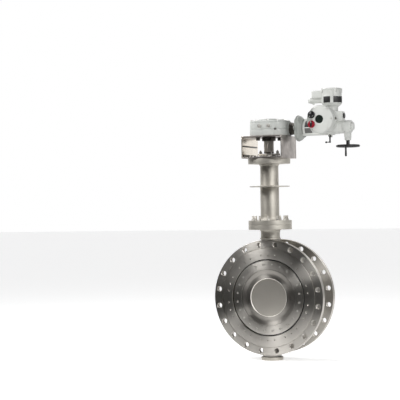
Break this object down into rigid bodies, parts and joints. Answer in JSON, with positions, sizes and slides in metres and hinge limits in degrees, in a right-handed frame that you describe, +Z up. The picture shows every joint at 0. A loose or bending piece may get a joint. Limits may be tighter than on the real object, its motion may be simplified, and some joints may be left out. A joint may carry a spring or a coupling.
{
  "type": "cryogenic butterfly valve",
  "caption": "Double-flanged butterfly valve with an extended bonnet, drip plate, worm gearbox and electric actuator with a small handwheel, disc shown closed.",
  "frame": {"origin": "centre of the bore in the plane of the front (upstream) flange's raised face", "axes": "+Y along the bore away from that face, +Z up along the shaft, +X towards the actuator"},
  "size_m": [1.0488, 0.4303, 1.8994],
  "materials": {
    "stainless_machined": "machined, brushed",
    "stainless_satin": "satin turned",
    "stainless_plate": "mill finish plate",
    "dark_steel": "dark oiled steel",
    "bearing_bronze": "turned bronze",
    "graphite": "pressed graphite",
    "paint_light_grey": "satin paint",
    "paint_mid_grey": "satin paint",
    "plastic_black": "moulded",
    "plastic_red": "moulded",
    "window_dark": "dark tinted window"
  },
  "bodies": {
    "valve_frame": {"valve_body": "stainless_machined", "bottom_cover": "stainless_machined", "bonnet_extension": "stainless_satin", "drip_plate": "stainless_satin", "gland_follower": "stainless_satin", "gland_flange": "stainless_satin", "gland_stud_left": "stainless_satin", "gland_stud_right": "stainless_satin", "bonnet_stud_01": "stainless_satin", "bonnet_stud_02": "stainless_satin", "bonnet_stud_03": "stainless_satin", "bonnet_stud_04": "stainless_satin", "bonnet_stud_05": "stainless_satin", "bonnet_stud_06": "stainless_satin", "bonnet_stud_07": "stainless_satin", "bonnet_stud_08": "stainless_satin", "bonnet_stud_09": "stainless_satin", "bonnet_stud_10": "stainless_satin", "bonnet_stud_11": "stainless_satin", "bonnet_stud_12": "stainless_satin", "bracket_base_plate": "stainless_plate", "bracket_top_plate": "stainless_plate", "bracket_side_left": "stainless_plate", "bracket_side_right": "stainless_plate", "body_seat_ring": "dark_steel", "input_neck": "dark_steel", "open_stop_bolt": "dark_steel", "closed_stop_bolt": "dark_steel", "upper_bushing": "bearing_bronze", "lower_bushing": "bearing_bronze", "bonnet_gasket": "graphite", "bottom_gasket": "graphite", "packing_set": "graphite", "gearbox_housing": "paint_light_grey", "gearbox_cover": "paint_light_grey", "actuator_gearcase": "paint_light_grey", "control_cover": "paint_light_grey", "terminal_housing": "paint_light_grey", "terminal_lid": "paint_light_grey", "conduit_plug": "paint_light_grey", "motor_housing": "paint_light_grey", "handwheel_column": "paint_light_grey", "input_adapter": "paint_mid_grey", "display_window": "window_dark"},
    "disc_assembly": {"disc": "stainless_machined", "seal_stack": "graphite", "seal_retaining_ring": "stainless_machined", "shaft": "stainless_satin", "disc_pin_lower": "stainless_satin", "disc_pin_upper": "stainless_satin", "drive_coupling": "dark_steel", "worm_quadrant": "dark_steel", "indicator_pointer": "dark_steel"},
    "worm_drive": {"worm_shaft": "dark_steel", "drive_sleeve": "dark_steel"},
    "handwheel_turning": {"handwheel": "plastic_black"},
    "spinner_turning": {"spinner_handle": "plastic_black"},
    "changeover_lever": {"declutch_lever": "plastic_black"},
    "command_knob": {"command_selector": "plastic_black"},
    "mode_knob": {"mode_selector": "plastic_red"}
  },
  "joints": [
    {"name": "disc_turn", "type": "hinge", "parent": "valve_frame", "child": "disc_assembly", "pos_m": [0, 0.068, 0], "axis": [0, 0, 1], "range_deg": [0, 90]},
    {"name": "worm_spin", "type": "hinge", "parent": "valve_frame", "child": "worm_drive", "pos_m": [0.1, 0.143, 1.1886], "axis": [1, 0, 0], "range_deg": [0, 3600]},
    {"name": "handwheel_spin", "type": "hinge", "parent": "valve_frame", "child": "handwheel_turning", "pos_m": [0.5595, 0.143, 1.0525], "axis": [0, 0, 1], "range_deg": [0, 3600]},
    {"name": "spinner_spin", "type": "hinge", "parent": "handwheel_turning", "child": "spinner_turning", "pos_m": [0.56659, 0.06934, 1.03], "axis": [0, 0, 1], "continuous": true},
    {"name": "lever_swing", "type": "hinge", "parent": "valve_frame", "child": "changeover_lever", "pos_m": [0.439, 0.113, 1.126], "axis": [0, 1, 0], "range_deg": [0, 35]},
    {"name": "command_turn", "type": "hinge", "parent": "valve_frame", "child": "command_knob", "pos_m": [0.342, 0.006, 1.271], "axis": [0, -1, 0], "range_deg": [-45, 45], "stiffness_Nm_per_rad": 0.3},
    {"name": "mode_turn", "type": "hinge", "parent": "valve_frame", "child": "mode_knob", "pos_m": [0.342, 0.006, 1.205], "axis": [0, -1, 0], "range_deg": [-60, 60]}
  ],
  "couplings": [
    {"joint": "worm_spin", "follows": "disc_turn", "ratio": 40},
    {"joint": "handwheel_spin", "follows": "disc_turn", "ratio": 40}
  ]
}
